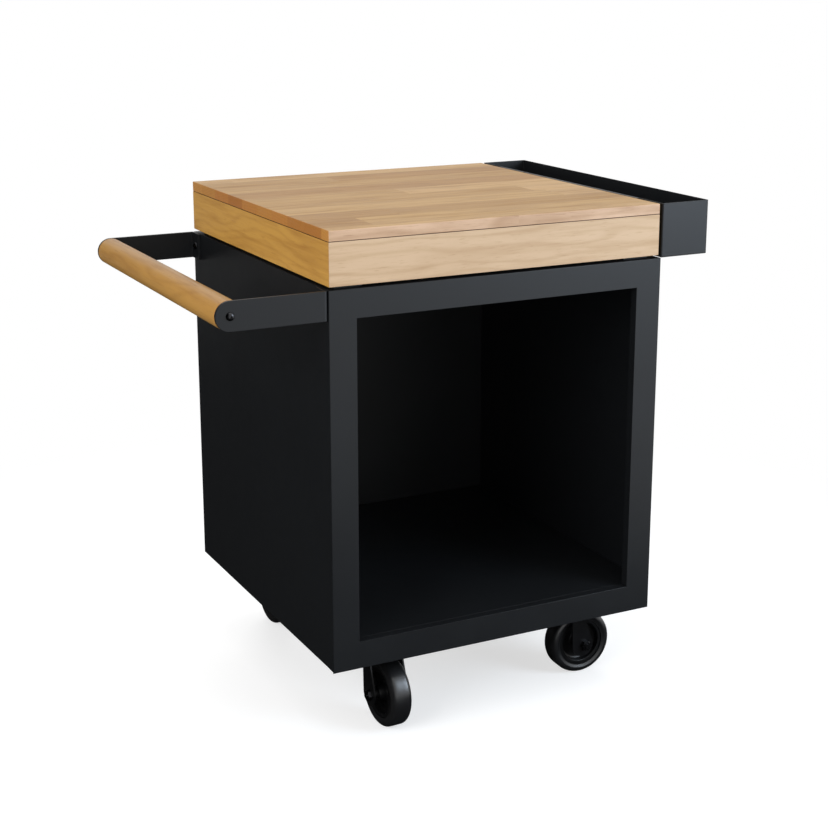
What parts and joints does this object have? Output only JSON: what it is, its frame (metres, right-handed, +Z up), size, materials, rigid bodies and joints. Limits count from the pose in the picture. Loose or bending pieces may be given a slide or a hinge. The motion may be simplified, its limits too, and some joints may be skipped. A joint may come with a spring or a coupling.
{
  "type": "mobile outdoor prep table",
  "caption": "Wheeled steel prep cabinet with an open firewood bay, a lift-off wooden work board, a push handle with a wooden bar and a hook-on planter tray.",
  "frame": {"origin": "on the floor, under the middle of the whole table's bounding box", "axes": "+X to the right along the front, from the handle to the planter tray; +Y to the back, so the open front faces -Y; +Z up"},
  "size_m": [0.944, 0.6588, 0.918],
  "materials": {
    "anthracite_coat": "fine-textured matt powder coat on sheet steel",
    "board_wood": "oiled edge-glued staves",
    "frame_wood": "oiled solid wood, mitred corners",
    "bar_wood": "oiled turned bar",
    "pad_rubber": "matt black rubber",
    "tyre_rubber": "smooth solid rubber tread",
    "hub_plastic": "black moulded nylon",
    "castor_coat": "black coat on pressed steel",
    "black_steel": "black-finished screws",
    "zinc_steel": "zinc-plated steel",
    "insert_brass": "plain brass inserts"
  },
  "bodies": {
    "cabinet": {"front_frame": "anthracite_coat", "side_panel_left": "anthracite_coat", "side_panel_right": "anthracite_coat", "back_panel": "anthracite_coat", "floor_plate": "anthracite_coat", "top_plate": "anthracite_coat", "castor_rail_left": "anthracite_coat", "castor_rail_right": "anthracite_coat", "spacer_pads": "pad_rubber", "rim_front": "frame_wood", "rim_back": "frame_wood", "rim_left": "frame_wood", "rim_right": "frame_wood", "corner_blocks": "frame_wood", "frame_screws": "zinc_steel", "handle_arm_front": "anthracite_coat", "handle_arm_rear": "anthracite_coat", "handle_bar": "bar_wood", "handle_inserts": "insert_brass", "handle_end_screws": "black_steel", "handle_bolts": "black_steel", "handle_nuts": "zinc_steel", "tray_bracket": "anthracite_coat", "bracket_screws": "zinc_steel", "castor_bolts": "zinc_steel", "castor_nuts": "zinc_steel", "castor_fl_plate": "zinc_steel", "castor_fr_plate": "zinc_steel", "castor_rl_plate": "zinc_steel", "castor_rr_plate": "zinc_steel"},
    "board": {"work_board": "board_wood", "board_cleat_left": "frame_wood", "board_cleat_right": "frame_wood", "cleat_screws": "zinc_steel"},
    "tray": {"planter_tray": "anthracite_coat"},
    "fork_fl": {"castor_fl_fork": "castor_coat", "castor_fl_balls": "zinc_steel", "castor_fl_sleeve": "zinc_steel", "castor_fl_axle": "black_steel"},
    "wheel_fl": {"castor_fl_hub": "hub_plastic", "castor_fl_tyre": "tyre_rubber"},
    "fork_fr": {"castor_fr_fork": "castor_coat", "castor_fr_balls": "zinc_steel", "castor_fr_sleeve": "zinc_steel", "castor_fr_axle": "black_steel"},
    "wheel_fr": {"castor_fr_hub": "hub_plastic", "castor_fr_tyre": "tyre_rubber"},
    "fork_rl": {"castor_rl_fork": "castor_coat", "castor_rl_balls": "zinc_steel", "castor_rl_sleeve": "zinc_steel", "castor_rl_axle": "black_steel"},
    "wheel_rl": {"castor_rl_hub": "hub_plastic", "castor_rl_tyre": "tyre_rubber"},
    "fork_rr": {"castor_rr_fork": "castor_coat", "castor_rr_balls": "zinc_steel", "castor_rr_sleeve": "zinc_steel", "castor_rr_axle": "black_steel"},
    "wheel_rr": {"castor_rr_hub": "hub_plastic", "castor_rr_tyre": "tyre_rubber"}
  },
  "joints": [
    {"name": "board_lift", "type": "slide", "parent": "cabinet", "child": "board", "axis": [0, 0, 1], "range_m": [0, 0.15]},
    {"name": "tray_lift", "type": "slide", "parent": "cabinet", "child": "tray", "axis": [0, 0, 1], "range_m": [0, 0.12]},
    {"name": "swivel_fl", "type": "hinge", "parent": "cabinet", "child": "fork_fl", "pos_m": [-0.146, -0.218, 0.145], "axis": [0, 0, 1], "continuous": true},
    {"name": "wheel_spin_fl", "type": "hinge", "parent": "fork_fl", "child": "wheel_fl", "pos_m": [-0.14453, -0.25997, 0.0625], "axis": [0.9994, 0.0349, 0], "continuous": true},
    {"name": "swivel_fr", "type": "hinge", "parent": "cabinet", "child": "fork_fr", "pos_m": [0.24, -0.218, 0.145], "axis": [0, 0, 1], "continuous": true},
    {"name": "wheel_spin_fr", "type": "hinge", "parent": "fork_fr", "child": "wheel_fr", "pos_m": [0.28197, -0.21947, 0.0625], "axis": [0.0349, 0.9994, 0], "continuous": true},
    {"name": "swivel_rl", "type": "hinge", "parent": "cabinet", "child": "fork_rl", "pos_m": [-0.146, 0.218, 0.145], "axis": [0, 0, 1], "continuous": true},
    {"name": "wheel_spin_rl", "type": "hinge", "parent": "fork_rl", "child": "wheel_rl", "pos_m": [-0.146, 0.26, 0.0625], "axis": [-1, 0, 0], "continuous": true},
    {"name": "swivel_rr", "type": "hinge", "parent": "cabinet", "child": "fork_rr", "pos_m": [0.24, 0.218, 0.145], "axis": [0, 0, 1], "continuous": true},
    {"name": "wheel_spin_rr", "type": "hinge", "parent": "fork_rr", "child": "wheel_rr", "pos_m": [0.27217, 0.245, 0.0625], "axis": [-0.6428, 0.766, 0], "continuous": true}
  ]
}
